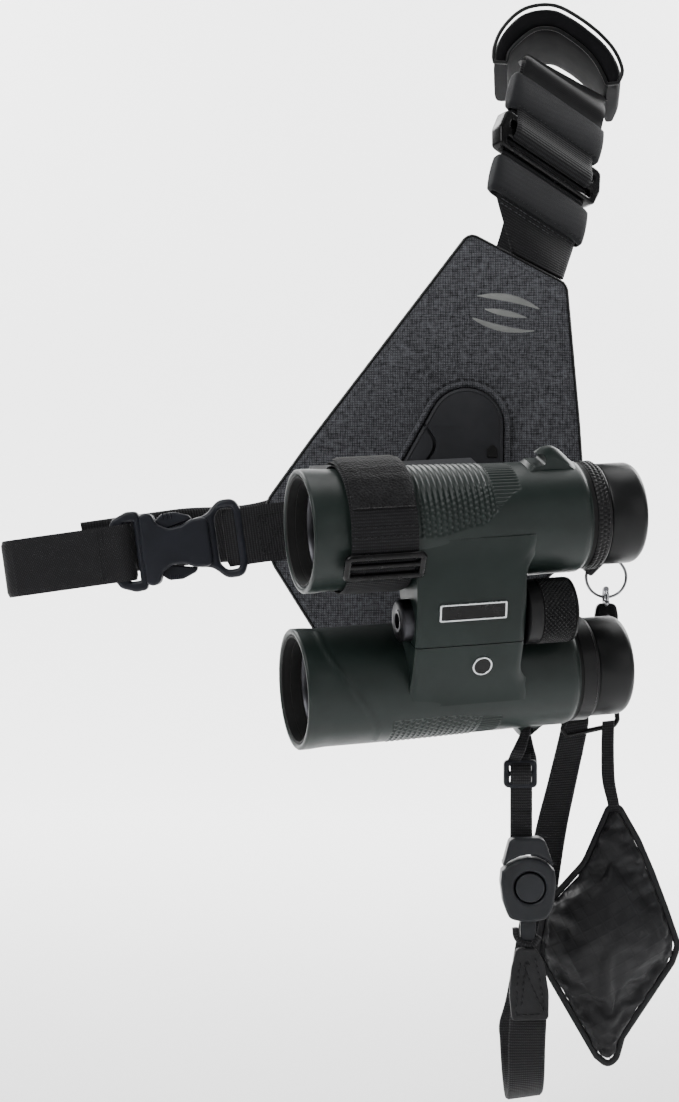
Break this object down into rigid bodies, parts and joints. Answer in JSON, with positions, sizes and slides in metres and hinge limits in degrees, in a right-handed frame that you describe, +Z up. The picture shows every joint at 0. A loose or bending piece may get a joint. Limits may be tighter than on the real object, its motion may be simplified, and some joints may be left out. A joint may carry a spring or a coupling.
{
  "type": "binocular harness pack",
  "caption": "Chest harness panel with twist-lock plate carrying a binocular, with side-release strap, shoulder pad, quick-release leash, snap hook and padded pouch.",
  "frame": {"origin": "twist-lock axis where it meets the chest side of the panel", "axes": "+X to the right seen from in front, +Y toward the wearer's chest, +Z up"},
  "size_m": [0.2971, 0.2308, 0.4914],
  "materials": {
    "panel_fabric": "heathered woven face fabric",
    "foam": "closed-cell foam",
    "lining": "mesh lining",
    "binding": "woven edge tape",
    "receptor_plastic": "moulded nylon",
    "steel": "steel",
    "trim": "stitched trim",
    "webbing": "ribbed webbing",
    "elastic": "twill elastic",
    "buckle": "moulded acetal",
    "keeper": "elastic keeper",
    "pad": "padded mesh",
    "armour": "satin rubber armour",
    "aluminium": "anodised",
    "glass": "coated optical glass",
    "bridge": "painted bridge",
    "plate": "blank plate",
    "wheel_rubber": "knurled rubber",
    "sleeve": "sleeve",
    "hook_loop": "hook-and-loop strap",
    "release_plastic": "release",
    "cord": "loop",
    "tether": "narrow webbing",
    "leather": "stitched leather",
    "ripstop": "ripstop nylon"
  },
  "bodies": {
    "harness": {"panel_face": "panel_fabric", "panel_foam": "foam", "panel_lining": "lining", "panel_binding": "binding", "receptor_plate": "receptor_plastic", "receptor_backplate": "steel", "receptor_screws": "steel", "receptor_trim": "trim", "side_tab_webbing": "webbing", "buckle_socket": "buckle", "ring_tab_webbing": "webbing", "shoulder_webbing": "webbing", "shoulder_pad": "pad", "back_webbing": "webbing"},
    "keeper_lower": {"keeper_lower": "keeper"},
    "keeper_upper": {"keeper_upper": "keeper"},
    "slider": {"shoulder_slider": "buckle"},
    "side_strap": {"buckle_plug": "buckle", "side_elastic": "elastic"},
    "prong_upper": {"buckle_prong_upper": "buckle"},
    "prong_lower": {"buckle_prong_lower": "buckle"},
    "upper_barrel": {"adapter_hub": "receptor_plastic", "adapter_cradle": "receptor_plastic", "adapter_strap": "hook_loop", "armour_upper": "armour", "tube_upper": "aluminium", "lenses_upper": "glass", "prism_upper": "glass", "bridge_upper": "bridge", "hinge_shaft": "steel", "hinge_cap": "aluminium", "name_plate": "plate"},
    "lower_barrel": {"armour_lower": "armour", "tube_lower": "aluminium", "lenses_lower": "glass", "prism_lower": "glass", "bridge_lower": "bridge", "badge": "plate"},
    "focus_wheel": {"focus_wheel": "wheel_rubber"},
    "focus_carrier": {"focus_carrier": "aluminium"},
    "dioptre_ring": {"dioptre_ring": "wheel_rubber"},
    "sleeve_upper": {"eyecup_sleeve_upper": "sleeve"},
    "cup_upper": {"eyecup_upper": "wheel_rubber"},
    "sleeve_lower": {"eyecup_sleeve_lower": "sleeve"},
    "cup_lower": {"eyecup_lower": "wheel_rubber"},
    "leash": {"lug_loop": "cord", "leash_slider": "buckle", "leash_webbing": "tether", "release_insert": "release_plastic"},
    "ring": {"split_ring": "steel"},
    "tether": {"snap_hook": "steel", "tether_webbing": "tether", "leather_tab": "leather", "tab_loop": "tether", "release_socket": "release_plastic", "release_spring": "steel"},
    "gate": {"hook_gate": "steel"},
    "button": {"release_button": "release_plastic"},
    "pouch": {"pouch": "ripstop", "pouch_strap": "webbing"}
  },
  "joints": [
    {"name": "receptor_twist", "type": "hinge", "parent": "harness", "child": "upper_barrel", "pos_m": [0, 0, 0], "axis": [0, -1, 0], "range_deg": [0, 90]},
    {"name": "barrel_fold", "type": "hinge", "parent": "upper_barrel", "child": "lower_barrel", "pos_m": [0.00042, -0.08549, -0.04045], "axis": [0.9619, 0.2668, 0.0593], "range_deg": [-5, 15]},
    {"name": "focus_turn", "type": "hinge", "parent": "upper_barrel", "child": "focus_wheel", "pos_m": [0.03889, -0.07482, -0.03807], "axis": [0.9619, 0.2668, 0.0593], "range_deg": [-150, 150]},
    {"name": "focus_travel", "type": "slide", "parent": "upper_barrel", "child": "focus_carrier", "axis": [0.9619, 0.2668, 0.0593], "range_m": [-0.002, 0.002]},
    {"name": "dioptre_turn", "type": "hinge", "parent": "upper_barrel", "child": "dioptre_ring", "pos_m": [0.05675, -0.06546, 0.00121], "axis": [0.9619, 0.2668, 0.0593], "range_deg": [-40, 40]},
    {"name": "eyecup_turn_upper", "type": "hinge", "parent": "upper_barrel", "child": "sleeve_upper", "pos_m": [0.06444, -0.06333, 0.00168], "axis": [0.9619, 0.2668, 0.0593], "range_deg": [0, 120]},
    {"name": "eyecup_rise_upper", "type": "slide", "parent": "sleeve_upper", "child": "cup_upper", "axis": [0.9619, 0.2668, 0.0593], "range_m": [0, 0.009]},
    {"name": "eyecup_turn_lower", "type": "hinge", "parent": "lower_barrel", "child": "sleeve_lower", "pos_m": [0.06186, -0.0397, -0.06267], "axis": [0.9619, 0.2668, 0.0593], "range_deg": [0, 120]},
    {"name": "eyecup_rise_lower", "type": "slide", "parent": "sleeve_lower", "child": "cup_lower", "axis": [0.9619, 0.2668, 0.0593], "range_m": [0, 0.009]},
    {"name": "leash_plumb", "type": "hinge", "parent": "lower_barrel", "child": "leash", "pos_m": [0.0349, -0.03791, -0.08875], "axis": [0, -1, 0], "range_deg": [-62, 0]},
    {"name": "ring_swing", "type": "hinge", "parent": "harness", "child": "ring", "pos_m": [0.06678, -0.0035, -0.01898], "axis": [0, -1, 0], "range_deg": [-1, 8]},
    {"name": "tether_swing", "type": "hinge", "parent": "ring", "child": "tether", "pos_m": [0.073, -0.0035, -0.034], "axis": [0, -1, 0], "range_deg": [0, 10]},
    {"name": "gate_open", "type": "hinge", "parent": "tether", "child": "gate", "pos_m": [0.073, -0.0067, -0.0352], "axis": [-1, 0, 0], "range_deg": [0, 12], "stiffness_Nm_per_rad": 0.02},
    {"name": "release_press", "type": "slide", "parent": "tether", "child": "button", "axis": [0, 1, 0], "range_m": [0, 0.0016], "stiffness_N_per_m": 400},
    {"name": "pouch_swing", "type": "hinge", "parent": "tether", "child": "pouch", "pos_m": [0.0735, -0.0035, -0.086], "axis": [0, -1, 0], "range_deg": [-6, 8]},
    {"name": "side_strap_release", "type": "slide", "parent": "harness", "child": "side_strap", "axis": [-0.9903, 0, -0.1392], "range_m": [0, 0.03]},
    {"name": "prong_squeeze_upper", "type": "hinge", "parent": "side_strap", "child": "prong_upper", "pos_m": [-0.12968, -0.0054, -0.00423], "axis": [0, -1, 0], "range_deg": [0, 6], "stiffness_Nm_per_rad": 0.05},
    {"name": "prong_squeeze_lower", "type": "hinge", "parent": "side_strap", "child": "prong_lower", "pos_m": [-0.12718, -0.0054, -0.02205], "axis": [0, 1, 0], "range_deg": [0, 6], "stiffness_Nm_per_rad": 0.05},
    {"name": "slider_travel", "type": "slide", "parent": "harness", "child": "slider", "axis": [0.209, 0.3819, 0.9002], "range_m": [-0.002, 0.002]},
    {"name": "keeper_lower_travel", "type": "slide", "parent": "harness", "child": "keeper_lower", "axis": [0.209, 0.3819, 0.9002], "range_m": [0, 0.001]},
    {"name": "keeper_upper_travel", "type": "slide", "parent": "harness", "child": "keeper_upper", "axis": [0.209, 0.3819, 0.9002], "range_m": [0, 0.005]}
  ],
  "couplings": [
    {"joint": "focus_travel", "follows": "focus_turn", "m_per_rad": 0.0006},
    {"joint": "eyecup_rise_upper", "follows": "eyecup_turn_upper", "m_per_rad": 0.0038},
    {"joint": "eyecup_rise_lower", "follows": "eyecup_turn_lower", "m_per_rad": 0.0038},
    {"joint": "leash_plumb", "follows": "receptor_twist", "ratio": -0.65}
  ]
}
